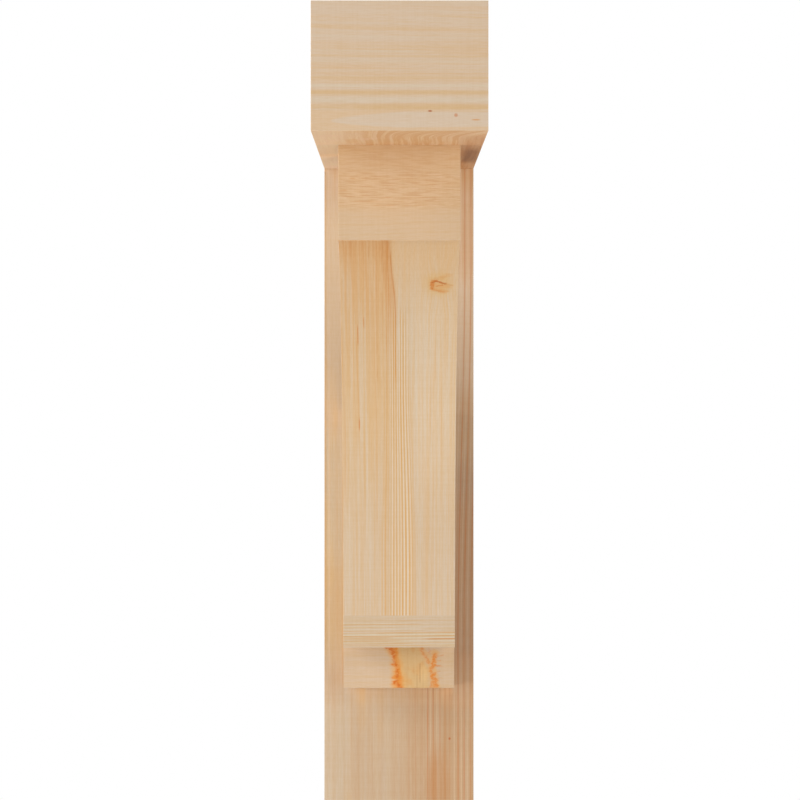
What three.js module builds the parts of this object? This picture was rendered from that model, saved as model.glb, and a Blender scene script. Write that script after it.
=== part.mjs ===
// A timber bracket that carries a roof edge, a canopy or a shelf off a wall. A square-ended beam
// lies on top of a wall post, an arched brace crosses the corner between them, and a small block
// is fixed to the post under the foot of the brace.
//
// Millimetres, +Z up. The front looks along +Y, so the wall is the plane y = 0 and the bracket
// reaches out from it towards -Y. The origin is the middle of the back, on the wall.

import * as THREE from "three";

// Overall: from the wall to the beam's end, and from the post's foot to the beam's top
const BRACKET_REACH = 963;
const BRACKET_HEIGHT = 947;

// Timber sizes: widths run across the front, each centred on x = 0
const TIMBER_WIDTH = 190.5;
const BRACE_WIDTH = 139.7;
const BEAM_HEIGHT = 139.7;
const POST_THICKNESS = 139.7;

// Brace, measured out from the post's front face and down from the beam's underside
const HEAD_REACH = 544;
const HEAD_HEIGHT = 109;
const FOOT_DEPTH = 113;
const FOOT_DROP = 604;

// The arch is hollowed out of the brace's front, and leaves a flat stop at each end
const ARCH_RADIUS = 520;
const ARCH_STOP = 40;
const ARCH_SEGMENTS = 32;

// The brace's straight back crosses the corner and leaves it open
const BACK_REACH = 312;
const BACK_DROP = 312;

// Block under the brace's foot
const BLOCK_DEPTH = 45;
const BLOCK_HEIGHT = 56;

// Clearance between timbers that touch
const JOINT_GAP = 0.3;

// Levels, with the origin half way up the back
const TOP = BRACKET_HEIGHT / 2;
const UNDERSIDE = TOP - BEAM_HEIGHT;
const BOTTOM = -TOP;

// Planed softwood, a little warmer where the grain runs along the face
const FIR = { roughness: 0.62, metalness: 0 };
const MATERIALS = {
  beam: new THREE.MeshStandardMaterial({ color: 0xd9c1a3, ...FIR }),
  post: new THREE.MeshStandardMaterial({ color: 0xd7b18a, ...FIR }),
  brace: new THREE.MeshStandardMaterial({ color: 0xd9bb94, ...FIR }),
  block: new THREE.MeshStandardMaterial({ color: 0xd8bc9a, ...FIR }),
};

// A point of the side view, placed from the corner where the post's face meets the beam
function fromCorner(reach, drop) {
  return new THREE.Vector2(POST_THICKNESS + reach, UNDERSIDE - drop);
}

function outline(corners) {
  const shape = new THREE.Shape();
  shape.setFromPoints(corners);
  return shape;
}

// Centre of the circle through two points, on the right of the way from the first to the second
function circleCentre(from, to, radius) {
  const middle = from.clone().lerp(to, 0.5);
  const along = to.clone().sub(from);
  const halfChord = along.length() / 2;
  const right = new THREE.Vector2(along.y, -along.x).normalize();
  return middle.addScaledVector(right, Math.sqrt(radius ** 2 - halfChord ** 2));
}

// A square-cut side outline that starts at the wall
function wallRectangle(reach, bottom, top) {
  return outline([
    new THREE.Vector2(0, bottom),
    new THREE.Vector2(reach, bottom),
    new THREE.Vector2(reach, top),
    new THREE.Vector2(0, top),
  ]);
}

// Up the straight back, round the foot, along the arch to the head, and back under the beam
function braceOutline() {
  const archFoot = fromCorner(FOOT_DEPTH, FOOT_DROP - ARCH_STOP);
  const archHead = fromCorner(HEAD_REACH - ARCH_STOP, HEAD_HEIGHT);
  const centre = circleCentre(archFoot, archHead, ARCH_RADIUS);
  const footAngle = archFoot.clone().sub(centre).angle();
  const headAngle = archHead.clone().sub(centre).angle();

  const shape = outline([
    fromCorner(BACK_REACH, JOINT_GAP),
    fromCorner(JOINT_GAP, BACK_DROP),
    fromCorner(JOINT_GAP, FOOT_DROP),
    fromCorner(FOOT_DEPTH, FOOT_DROP),
  ]);
  shape.absarc(centre.x, centre.y, ARCH_RADIUS, footAngle, headAngle, true);
  for (const corner of [fromCorner(HEAD_REACH, HEAD_HEIGHT), fromCorner(HEAD_REACH, JOINT_GAP)]) {
    shape.lineTo(corner.x, corner.y);
  }
  return shape;
}

function blockOutline() {
  const blockTop = FOOT_DROP + JOINT_GAP;
  const blockBottom = FOOT_DROP + BLOCK_HEIGHT;
  return outline([
    fromCorner(JOINT_GAP, blockBottom),
    fromCorner(BLOCK_DEPTH, blockBottom),
    fromCorner(BLOCK_DEPTH, blockTop),
    fromCorner(JOINT_GAP, blockTop),
  ]);
}

// One timber: its side outline run across the front, centred on its width
function timber(name, sideOutline, width, material) {
  const geometry = new THREE.ExtrudeGeometry(sideOutline, {
    depth: width,
    bevelEnabled: false,
    curveSegments: ARCH_SEGMENTS,
  });
  const mesh = new THREE.Mesh(geometry, material);
  mesh.name = name;
  mesh.position.z = -width / 2;
  return mesh;
}

// Stands the side view up: out from the wall is -Y, up is +Z, and the extrusion runs along -X
function standUp(sideView) {
  const outwards = new THREE.Vector3(0, -1, 0);
  const upwards = new THREE.Vector3(0, 0, 1);
  const across = new THREE.Vector3(-1, 0, 0);
  sideView.setRotationFromMatrix(new THREE.Matrix4().makeBasis(outwards, upwards, across));
}

const beamOutline = wallRectangle(BRACKET_REACH, UNDERSIDE, TOP);
const postOutline = wallRectangle(POST_THICKNESS, BOTTOM, UNDERSIDE - JOINT_GAP);

const bracket = new THREE.Group();
const sideView = new THREE.Group();
standUp(sideView);
sideView.add(
  timber("top_beam", beamOutline, TIMBER_WIDTH, MATERIALS.beam),
  timber("wall_post", postOutline, TIMBER_WIDTH, MATERIALS.post),
  timber("arched_brace", braceOutline(), BRACE_WIDTH, MATERIALS.brace),
  timber("foot_block", blockOutline(), BRACE_WIDTH, MATERIALS.block),
);
bracket.add(sideView);

export default bracket;
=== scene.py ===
import math

import bmesh
import bpy
from bpy.props import FloatProperty, FloatVectorProperty, IntProperty, PointerProperty
from bpy.types import Operator, Panel, PropertyGroup
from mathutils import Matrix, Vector


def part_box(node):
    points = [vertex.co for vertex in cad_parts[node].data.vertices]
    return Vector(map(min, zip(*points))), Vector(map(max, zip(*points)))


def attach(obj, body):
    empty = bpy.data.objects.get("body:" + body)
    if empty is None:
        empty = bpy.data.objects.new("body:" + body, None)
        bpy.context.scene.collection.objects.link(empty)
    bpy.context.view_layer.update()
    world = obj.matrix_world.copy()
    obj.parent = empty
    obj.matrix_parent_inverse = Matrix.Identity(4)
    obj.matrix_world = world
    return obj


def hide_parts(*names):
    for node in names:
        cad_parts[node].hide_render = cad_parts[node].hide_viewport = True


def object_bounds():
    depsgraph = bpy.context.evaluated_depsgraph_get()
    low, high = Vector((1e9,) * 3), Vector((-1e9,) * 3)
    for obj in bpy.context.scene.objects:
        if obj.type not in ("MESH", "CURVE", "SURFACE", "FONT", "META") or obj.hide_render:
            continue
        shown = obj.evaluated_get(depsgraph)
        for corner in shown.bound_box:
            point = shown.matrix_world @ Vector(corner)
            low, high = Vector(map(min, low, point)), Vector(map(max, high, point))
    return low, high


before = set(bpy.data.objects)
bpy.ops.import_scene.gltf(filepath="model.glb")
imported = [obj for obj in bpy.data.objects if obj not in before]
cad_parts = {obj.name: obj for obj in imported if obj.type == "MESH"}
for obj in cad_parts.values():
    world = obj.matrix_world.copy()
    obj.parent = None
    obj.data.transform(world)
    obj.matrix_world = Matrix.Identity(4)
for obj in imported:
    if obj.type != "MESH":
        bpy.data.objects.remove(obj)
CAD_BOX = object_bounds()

bl_info = {
    "name": "Block bracket",
    "version": (1, 0, 0),
    "blender": (4, 5, 0),
    "location": "3D View > Sidebar > Bracket",
    "description": "Dresses the timber wall bracket: beam, post, arched brace and foot block",
    "category": "Object",
}

BEAM_LOW, BEAM_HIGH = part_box("top_beam")
POST_LOW, POST_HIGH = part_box("wall_post")
BRACE_LOW, BRACE_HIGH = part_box("arched_brace")
BLOCK_LOW, BLOCK_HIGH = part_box("foot_block")

# The brace and the block are set out from the corner where the post's face meets the beam
UNDERSIDE = BEAM_LOW.z
POST_FACE = POST_LOW.y
DIAGONAL = math.sqrt(0.5)

# Distances in metres: two points that count as one, a point that counts as lying on a plane,
# and how far a corner or a face of the brace may lie off its plane or arc once it is eased
SAME_POINT = 1e-6
ON_PLANE = 1e-5
CORNER_SLACK = 0.0005
FACE_SLACK = 0.0012

# Angles between two faces: corners that get eased, and corners that stay crisp to the light
EASED_ABOVE = math.radians(30)
CRISP_ABOVE = math.radians(20)

# Lamps: the stage setting that gives the power, the place, the size, the spread in degrees
LAMPS = (
    ("high", (-3.0, -1.2, 1.2), 2.2, 180.0),
    ("low", (-3.0, -1.8, -0.6), 2.0, 180.0),
    ("front", (-2.6, -3.0, -0.2), 2.2, 180.0),
    ("right", (3.0, -1.4, 0.0), 2.2, 180.0),
    ("fill", (2.4, -3.5, 0.5), 2.2, 180.0),
    ("back", (0.6, 3.4, 0.9), 2.4, 180.0),
    ("top", (-0.2, 1.5, 2.5), 1.6, 110.0),
)
LAMPS_AIM_AT = Vector((0.0, -0.5, 0.0))

# Floor, to the left and right of the bracket, towards the camera and behind the wall
FLOOR_HALF_WIDTH, FLOOR_FRONT, FLOOR_BACK = 7.0, -9.0, 3.8

# Camera: a hair left of the middle, and shifted to the photo's framing
CAMERA_SIDE = -0.00413
CAMERA_SHIFT = (0.00534, -0.0425)
SENSOR_WIDTH = 36.0

# The soft light all round is a little warm, what the camera sees behind the bracket is white
AMBIENT_TINT = (1.0, 0.985, 0.965, 1.0)
WHITE = (1.0, 1.0, 1.0, 1.0)


def shade(red, green, blue):
    """A colour from its 0 to 255 values, as the linear values that Blender keeps."""
    channels = []
    for value in (red, green, blue):
        part = value / 255
        channels.append(part / 12.92 if part <= 0.04045 else ((part + 0.055) / 1.055) ** 2.4)
    return tuple(channels)


# ---------------------------------------------------------------------------
# Settings
# ---------------------------------------------------------------------------


def length(name, description, default):
    """A length setting, in metres."""
    return FloatProperty(name=name, description=description, default=default, min=0.0,
                         subtype="DISTANCE", unit="LENGTH", precision=4)


def power(name, description, default):
    """A lamp's power setting, in watts."""
    return FloatProperty(name=name, description=description, default=default, min=0.0,
                         subtype="POWER", unit="POWER")


def colour(name, description, default):
    """A colour setting, given as 0 to 255 values."""
    return FloatVectorProperty(name=name, description=description, default=shade(*default),
                               subtype="COLOR", size=3, min=0.0, max=1.0)


class BracketSizes(PropertyGroup):
    """Sizes of the brace, the joints and the eased corners"""

    head_reach: length("Head reach", "From the post's face out to the brace's upper end", 0.544)
    head_height: length("Head height", "Height of the brace's upper end face", 0.109)
    foot_depth: length("Foot depth", "How far the brace's foot stands off the post", 0.113)
    foot_drop: length("Foot drop", "From the beam's underside down to the brace's foot", 0.604)
    arch_radius: length("Arch radius", "Radius of the hollow in the brace's front", 0.52)
    arch_stop: length("Arch stop", "Flat left at each end of the arch", 0.04)
    back_reach: length("Back reach", "Where the brace's back meets the beam", 0.312)
    back_drop: length("Back drop", "Where the brace's back meets the post", 0.312)
    joint_gap: length("Joint gap", "Clearance between timbers that touch", 0.00002)
    arris: length("Arris", "How far the sharp corners are eased", 0.0003)
    arch_points: IntProperty(name="Arch points", description="Points along the arch",
                             default=65, min=9, max=257)


class BracketColours(PropertyGroup):
    """Colours of the timbers"""

    beam_pale: colour("Beam, pale", "Early wood on the beam's end", (212, 191, 169))
    beam_warm: colour("Beam, warm", "Late wood on the beam's end", (212, 181, 146))
    under_pale: colour("Underside, pale", "Early wood under the beam", (226, 192, 155))
    under_warm: colour("Underside, warm", "Late wood under the beam", (211, 160, 110))
    post_pale: colour("Post, pale", "Early wood on the post", (202, 179, 154))
    post_warm: colour("Post, warm", "Late wood on the post", (193, 153, 114))
    head_pale: colour("Brace head, pale", "Early wood on the brace's upper end",
                      (201, 177, 148))
    head_warm: colour("Brace head, warm", "Late wood on the brace's upper end",
                      (204, 169, 128))
    arch_pale: colour("Arch, pale", "Early wood in the arch", (206, 188, 165))
    arch_warm: colour("Arch, warm", "Late wood in the arch", (208, 173, 129))
    flank_pale: colour("Brace side, pale", "Early wood on the brace's sides", (202, 186, 164))
    flank_warm: colour("Brace side, warm", "Late wood on the brace's sides", (198, 170, 134))
    foot_pale: colour("Foot, pale", "Early wood on the brace's foot", (195, 176, 154))
    foot_warm: colour("Foot, warm", "Late wood on the brace's foot", (192, 158, 112))
    block_pale: colour("Block, pale", "Early wood on the block", (199, 175, 150))
    block_warm: colour("Block, warm", "Late wood on the block", (198, 168, 132))
    resin: colour("Resin line", "Strong orange growth lines", (207, 146, 82))
    knot: colour("Knot", "Heart of a knot", (196, 108, 44))
    bark: colour("Knot rim", "Dark rim and pin knots", (176, 100, 58))


class BracketStage(PropertyGroup):
    """Floor, lights and camera"""

    floor: colour("Floor", "Plain pale floor", (140, 139, 137))
    floor_glow: FloatProperty(name="Floor glow", description="Keeps the floor evenly pale",
                              default=1.75, min=0.0, max=5.0)
    floor_drop: length("Floor drop", "How far the floor lies below the bracket's foot", 0.65)
    ambient: FloatProperty(name="Ambient", description="Strength of the soft light all round",
                           default=0.25, min=0.0, max=5.0)
    high: power("High light", "Large soft light above on the left", 97.0)
    low: power("Low light", "Soft light from the left, below the middle", 77.5)
    front: power("Front light", "Weak light from the left and in front", 14.5)
    right: power("Right light", "Weak light on the right", 32.0)
    fill: power("Fill light", "Soft light from the right and in front", 40.5)
    back: power("Back light", "Soft light behind the wall side", 29.0)
    top: power("Top light", "Soft light above the wall side, for the top and the back", 20.0)
    camera_away: length("Camera distance", "From the camera to the wall", 5.2512)
    camera_height: FloatProperty(name="Camera height", description="Above the bracket's middle",
                                 default=0.0816, subtype="DISTANCE", unit="LENGTH")
    camera_lens: FloatProperty(name="Lens", description="Focal length in millimetres",
                               default=180.0, min=20.0)


def sizes():
    """The bracket's sizes, as set in this scene."""
    return bpy.context.scene.bracket_sizes


def colours():
    """The timbers' colours, as set in this scene."""
    return bpy.context.scene.bracket_colours


# ---------------------------------------------------------------------------
# Node arithmetic, shared by the finishes and the brace's shape
# ---------------------------------------------------------------------------


class Value:
    """A number that changes over a surface. Sums with it add the nodes that work them out."""

    def __init__(self, tree, socket):
        self.tree = tree
        self.socket = socket

    def calc(self, operation, *others, clamp=False):
        """One math node that works on this value and the others."""
        node = self.tree.nodes.new("ShaderNodeMath")
        node.operation = operation
        node.use_clamp = clamp
        for slot, value in zip(node.inputs, (self,) + others):
            plug(self.tree, slot, value)
        return Value(self.tree, node.outputs[0])

    def __add__(self, other):
        return self.calc("ADD", other)

    def __sub__(self, other):
        return self.calc("SUBTRACT", other)

    def __rsub__(self, other):
        return self.calc("MULTIPLY_ADD", -1.0, other)

    def __mul__(self, other):
        return self.calc("MULTIPLY", other)

    def __truediv__(self, other):
        return self.calc("DIVIDE", other)

    def rise(self, start, end):
        """0 before start and 1 past end, with a soft step between. Start may be the greater."""
        node = self.tree.nodes.new("ShaderNodeMapRange")
        node.interpolation_type = "SMOOTHSTEP"
        for key, value in (("Value", self), ("From Min", start), ("From Max", end)):
            plug(self.tree, node.inputs[key], value)
        return Value(self.tree, node.outputs["Result"])

    def near(self, centre, width):
        """1 at the centre, falling softly to 0 at that distance from it."""
        return (self - centre).calc("ABSOLUTE").rise(width, 0.0)

    def span(self, start, end, fade):
        """1 from start to end, with soft ends."""
        middle, half = (start + end) / 2, (end - start) / 2
        return (self - middle).calc("ABSOLUTE").rise(half + fade, half)


def plug(tree, slot, value):
    """Feeds a node's input from a changing value, or sets it to a plain number."""
    if isinstance(value, Value):
        tree.links.new(value.socket, slot)
    else:
        slot.default_value = value


class Face:
    """One sawn face: how far across and along its grain each point is, in metres."""

    # How far apart the noise of two faces, and of two layers of a face, is taken
    SEED_STEP, LAYER_STEP = 7.31, 1.93

    def __init__(self, tree, seed):
        self.tree = tree
        self.seed = seed
        source = tree.nodes.new("ShaderNodeUVMap")
        source.uv_map = "grain"
        split = tree.nodes.new("ShaderNodeSeparateXYZ")
        tree.links.new(source.outputs["UV"], split.inputs[0])
        self.across = Value(tree, split.outputs["X"])
        self.along = Value(tree, split.outputs["Y"])

    def noise(self, across, along, layer, detail=2.0, roughness=0.5, at=None):
        """Cloudy noise with that many lumps to the metre across and along the grain."""
        place = self.tree.nodes.new("ShaderNodeCombineXYZ")
        plug(self.tree, place.inputs["X"], (self.across if at is None else at) * across)
        plug(self.tree, place.inputs["Y"], self.along * along)
        place.inputs["Z"].default_value = self.seed * self.SEED_STEP + layer * self.LAYER_STEP
        node = self.tree.nodes.new("ShaderNodeTexNoise")
        self.tree.links.new(place.outputs[0], node.inputs["Vector"])
        node.inputs["Scale"].default_value = 1.0
        node.inputs["Detail"].default_value = detail
        node.inputs["Roughness"].default_value = roughness
        return Value(self.tree, node.outputs[0])

    def sway(self, amount, along, layer=0, across=3.0):
        """Lets the grain wander sideways by up to about that many metres."""
        return self.across + (self.noise(across, along, layer, 1.0) - 0.5) * (2.0 * amount)

    def streaks(self, at, across, along, layer, low=0.42, high=0.60):
        """Fibres of uneven width that run with the grain: 0 in the pale ones, 1 in the dark."""
        return self.noise(across, along, layer, 3.0, 0.62, at=at).rise(low, high)

    def stroke(self, x, y, start, end, half):
        """A soft brush stroke between two points."""
        run, climb = end[0] - start[0], end[1] - start[1]
        square = run * run + climb * climb
        x, y = x - start[0], y - start[1]
        part = (x * (run / square)).calc("ADD", y * (climb / square), clamp=True)
        x, y = x - part * run, y - part * climb
        return (x * x + y * y).calc("SQRT").rise(half, half * 0.3)

    def strokes(self, x, y, parts):
        """Several brush strokes together: (start, end, half width, strength) each."""
        total = None
        for start, end, half, strength in parts:
            stroke = self.stroke(x, y, start, end, half) * strength
            total = stroke if total is None else total.calc("MAXIMUM", stroke)
        return total

    def mark(self, across, along, half_across, half_along):
        """A soft round or long spot."""
        wide = (self.across - across) / half_across
        tall = (self.along - along) / half_along
        return (wide * wide + tall * tall).calc("SQRT").rise(1.0, 0.35)

    def mix(self, below, above, amount, kind="MIX"):
        """Lays one colour over another by that amount."""
        node = self.tree.nodes.new("ShaderNodeMix")
        node.data_type = "RGBA"
        node.blend_type = kind
        plug(self.tree, node.inputs[0], amount)
        for slot, tint in ((node.inputs[6], below), (node.inputs[7], above)):
            if isinstance(tint, bpy.types.NodeSocket):
                self.tree.links.new(tint, slot)
            else:
                slot.default_value = (*tint, 1.0)
        return node.outputs[2]

    def wash(self, tint, factors, amount):
        """Multiplies the colour's red, green and blue by these factors, by that amount."""
        return self.mix(tint, factors, amount, "MULTIPLY")


# ---------------------------------------------------------------------------
# Finishes: planed softwood, one figure to each kind of face
# ---------------------------------------------------------------------------


def growth_lines(face, at, spacing, layer, sharp=0.5):
    """Year rings: pale early wood that darkens slowly and stops at a line."""
    turn = (at / spacing + face.noise(30.0, 0.8, layer, 1.0) * 1.4).calc("FRACT")
    return turn.rise(sharp, 0.93) * turn.rise(1.0, 0.95)


def drawn_lines(at, along, lines):
    """Growth lines at set places: (across, half width, strength, from, to, fade) each."""
    total = None
    for across, half_width, strength, start, end, fade in lines:
        line = at.near(across, half_width) * strength * along.span(start, end, fade)
        total = line if total is None else total.calc("MAXIMUM", line)
    return total


def planed(name, seed, figure):
    """A material whose figure gives the colour, and how far the late wood stands in it."""
    material = bpy.data.materials.new(name)
    material.use_nodes = True
    tree = material.node_tree
    face = Face(tree, seed)
    tint, late = figure(face)
    fibre = face.noise(1100.0, 70.0, 31, 3.0, 0.65)
    tint = face.wash(tint, (0.965, 0.925, 0.850), fibre.rise(0.34, 0.66) * 0.8)
    # Faint marks that the planer left across the grain
    planer = face.noise(14.0, 460.0, 32, 2.0)
    tint = face.wash(tint, (0.985, 0.970, 0.940), planer.rise(0.40, 0.62) * 0.7)
    shader = tree.nodes["Principled BSDF"]
    tree.links.new(tint, shader.inputs["Base Color"])
    rough = 0.66 - late * 0.10 + (fibre - 0.5) * 0.12
    tree.links.new(rough.socket, shader.inputs["Roughness"])
    shader.inputs["Specular IOR Level"].default_value = 0.28
    bump = tree.nodes.new("ShaderNodeBump")
    bump.inputs["Strength"].default_value = 0.35
    bump.inputs["Distance"].default_value = 0.0004
    height = late * 0.5 + fibre * 0.5
    tree.links.new(height.socket, bump.inputs["Height"])
    tree.links.new(bump.outputs[0], shader.inputs["Normal"])
    return material


def plain_face(pale, warm, spacing=0.0034, strength=0.75, knots=(), arch=None):
    """A long face with no mark of its own but faint rings, and knots if it has any."""
    tones = colours()

    def figure(face):
        at = face.sway(0.004, 1.1, 1)
        for across, along, half in knots:
            pull = face.mark(across, along, half * 3.2, half * 5.0)
            side = (face.across - across).calc("SIGN")
            at = at + side * pull * half * 0.9
        if arch:
            centre, start, slope = arch
            side = at - centre
            reach = (face.along - start) * slope
            at = (side * side + reach * reach).calc("SQRT")
        tone = face.noise(16.0, 1.3, 2, 2.0, at=at).rise(0.3, 0.7)
        rings = growth_lines(face, at, spacing, 3)
        loud = face.noise(26.0, 0.7, 4, 1.0, at=at).rise(0.42, 0.68) * 0.75 + 0.25
        uneven = face.streaks(at, 0.8 / spacing, 1.6, 7, 0.38, 0.62)
        late = rings * loud * (uneven * 0.7 + 0.3)
        fine = face.streaks(at, 520.0, 4.0, 5)
        tint = face.mix(pale, warm, tone * 0.45 + uneven * 0.30 + fine * 0.34)
        tint = face.mix(tint, warm, late * strength)
        tint = face.mix(tint, tones.resin, late * loud * 0.26)
        for across, along, half in knots:
            tint = round_knot(face, tint, across, along, half)
        return tint, late

    return figure


def round_knot(face, tint, across, along, half):
    """A small sound knot: rings inside, a dark rim and a warm halo."""
    tones = colours()
    wide = (face.across - across) / half
    tall = (face.along - along) / (half * 1.5)
    wobble = (face.noise(120.0, 90.0, 17, 1.0) - 0.5) * 0.35
    away = (wide * wide + tall * tall).calc("SQRT") + wobble
    tint = face.mix(tint, tones.resin, away.rise(2.2, 0.9) * 0.45)
    tint = face.mix(tint, tones.knot, away.rise(1.0, 0.8) * 0.55)
    rings = (away * 4.0).calc("FRACT").rise(0.5, 0.95) * away.rise(1.0, 0.85)
    tint = face.mix(tint, tones.bark, rings * 0.35)
    return face.mix(tint, tones.bark, away.near(0.95, 0.22) * 0.7)


def end_grain(pale, warm, centre, spacing=0.0036):
    """A sawn end: rings round a heart that lies outside the timber, and fine rays."""

    def figure(face):
        side = face.across - centre[0]
        up = face.along - centre[1]
        away = (side * side + up * up).calc("SQRT")
        away = away + (face.noise(26.0, 26.0, 6, 2.0) - 0.5) * 0.004
        turn = (away / spacing).calc("FRACT")
        rings = turn.rise(0.35, 0.95) * turn.rise(1.0, 0.95)
        patch = face.noise(22.0, 22.0, 7, 2.0).rise(0.3, 0.7)
        pores = face.noise(900.0, 900.0, 8, 1.0).rise(0.5, 0.75)
        tint = face.mix(pale, warm, patch * 0.5)
        tint = face.mix(tint, warm, rings * 0.8)
        tint = face.mix(tint, (0.12, 0.06, 0.03), pores * 0.10)
        return tint, rings

    return figure


def beam_end(face):
    """Across is the height above the underside, along is to the right."""
    tones = colours()
    across, along = face.across, face.along
    at = face.sway(0.0016, 5.0, 1, across=8.0) + along * across.rise(0.05, 0.14) * 0.03
    broad = face.streaks(at, 95.0, 1.5, 2, 0.36, 0.64)
    fine = face.streaks(at, 430.0, 6.0, 3, 0.40, 0.62)
    late = broad * (across.rise(0.145, 0.03) * 0.35 + 0.40)
    tint = face.mix(tones.beam_pale, tones.beam_warm, late + fine * 0.34)
    warm = drawn_lines(at, along, (
        (0.0412, 0.0042, 0.85, -0.1, 0.1, 0.02), (0.0252, 0.0052, 0.90, -0.03, 0.1, 0.05),
        (0.0252, 0.0040, 0.55, -0.1, -0.03, 0.02), (0.0570, 0.0044, 0.50, -0.1, 0.1, 0.02),
        (0.0800, 0.0024, 0.45, -0.1, 0.1, 0.02), (0.0905, 0.0022, 0.35, -0.06, 0.06, 0.03),
        (0.1100, 0.0028, 0.35, -0.1, 0.1, 0.02), (0.1235, 0.0018, 0.45, 0.05, 0.1, 0.03)))
    tint = face.mix(tint, shade(210, 178, 136), warm)
    pale = drawn_lines(at, along, (
        (0.0487, 0.0025, 0.95, -0.1, 0.1, 0.02), (0.0332, 0.0060, 0.90, -0.1, 0.1, 0.02),
        (0.0857, 0.0022, 0.60, -0.1, 0.01, 0.04), (0.0744, 0.0026, 0.55, -0.1, 0.1, 0.02),
        (0.0655, 0.0018, 0.35, -0.1, 0.1, 0.02), (0.1010, 0.0022, 0.35, -0.1, 0.1, 0.02),
        (0.1175, 0.0018, 0.35, -0.1, 0.1, 0.02)))
    tint = face.mix(tint, shade(212, 194, 172), pale)
    # A pale lens in the lowest rings runs out towards the left
    tip = -0.0756
    half = ((along - tip).calc("MAXIMUM", 0.0).calc("SQRT") * 0.034).calc("MINIMUM", 0.0100)
    offset = (at - along * 0.02 - 0.0121).calc("ABSOLUTE")
    inside = (half - offset).rise(-0.0004, 0.0022) * along.rise(tip, tip + 0.004)
    tint = face.mix(tint, shade(215, 186, 153), at.rise(0.0232, 0.0205) * 0.8)
    tint = face.mix(tint, shade(212, 192, 171), inside * (1.0 - fine * 0.25))
    above_lens = at.near(0.0212, 0.0022) * along.rise(-0.03, 0.0)
    tint = face.mix(tint, tones.beam_warm, above_lens * 0.6)
    tint = face.mix(tint, tones.bark, face.mark(0.0212, 0.0327, 0.0013, 0.0032) * 0.95)
    tint = face.mix(tint, tones.knot, face.mark(0.0168, 0.0605, 0.0028, 0.0028) * 0.55)
    tint = face.mix(tint, tones.resin, face.mark(0.0118, 0.0819, 0.0011, 0.0066) * 0.75)
    return tint, late + fine * 0.3


def beam_underside(face):
    """Across is to the right, along is the distance out from the wall."""
    tones = colours()
    across, along = face.across, face.along
    # The rings swing to the right near the beam's end
    tip = (along - 0.83).calc("MAXIMUM", 0.0)
    at = face.sway(0.004, 3.0, 1) - tip * tip * across.rise(-0.04, 0.05) * 1.7
    bands = face.streaks(at, 190.0, 2.4, 2, 0.42, 0.58)
    fine = face.streaks(at, 430.0, 5.0, 3)
    side = across.rise(-0.080, -0.008)
    tint = face.mix(tones.under_pale, tones.under_warm,
                    side * 0.33 + bands * (side * 0.62 + 0.14) + fine * 0.14)
    gleam = face.streaks(at, 230.0, 3.0, 6, 0.50, 0.64)
    tint = face.mix(tint, shade(230, 200, 158), gleam * 0.40)
    blush = face.noise(30.0, 18.0, 5, 2.0).rise(0.5, 0.7) * across.rise(0.0, -0.05)
    tint = face.mix(tint, shade(228, 186, 156), blush * 0.45)
    tint = face.mix(tint, tones.resin, face.mark(-0.052, 0.770, 0.010, 0.060) * 0.35)
    # Painted shade on the right of the brace under the beam, darker and warmer, fading out
    # towards the beam's end
    tint = face.wash(tint, (0.86, 0.74, 0.64),
                     across.rise(0.062, 0.078) * along.rise(0.93, 0.80))
    # On the left: painted shade half way in, beside the brace, and painted light over the open
    # corner
    edge_left = across.rise(-0.064, -0.072)
    tint = face.wash(tint, (0.90, 0.96, 1.03), edge_left * along.span(0.52, 0.66, 0.06))
    tint = face.wash(tint, (1.15, 1.24, 1.36), edge_left * along.rise(0.47, 0.42))
    # Dark painted shade beside the brace, where its head shades the underside
    painted_shade_beside_brace = along.span(0.36, 0.53, 0.12) * across.rise(0.072, 0.083) * 0.95 \
        * (across.rise(0.096, 0.086) * 0.5 + 0.5) * (bands * 0.25 + 0.75)
    tint = face.wash(tint, (0.53, 0.40, 0.30), painted_shade_beside_brace)
    return tint, bands * 0.6


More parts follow.
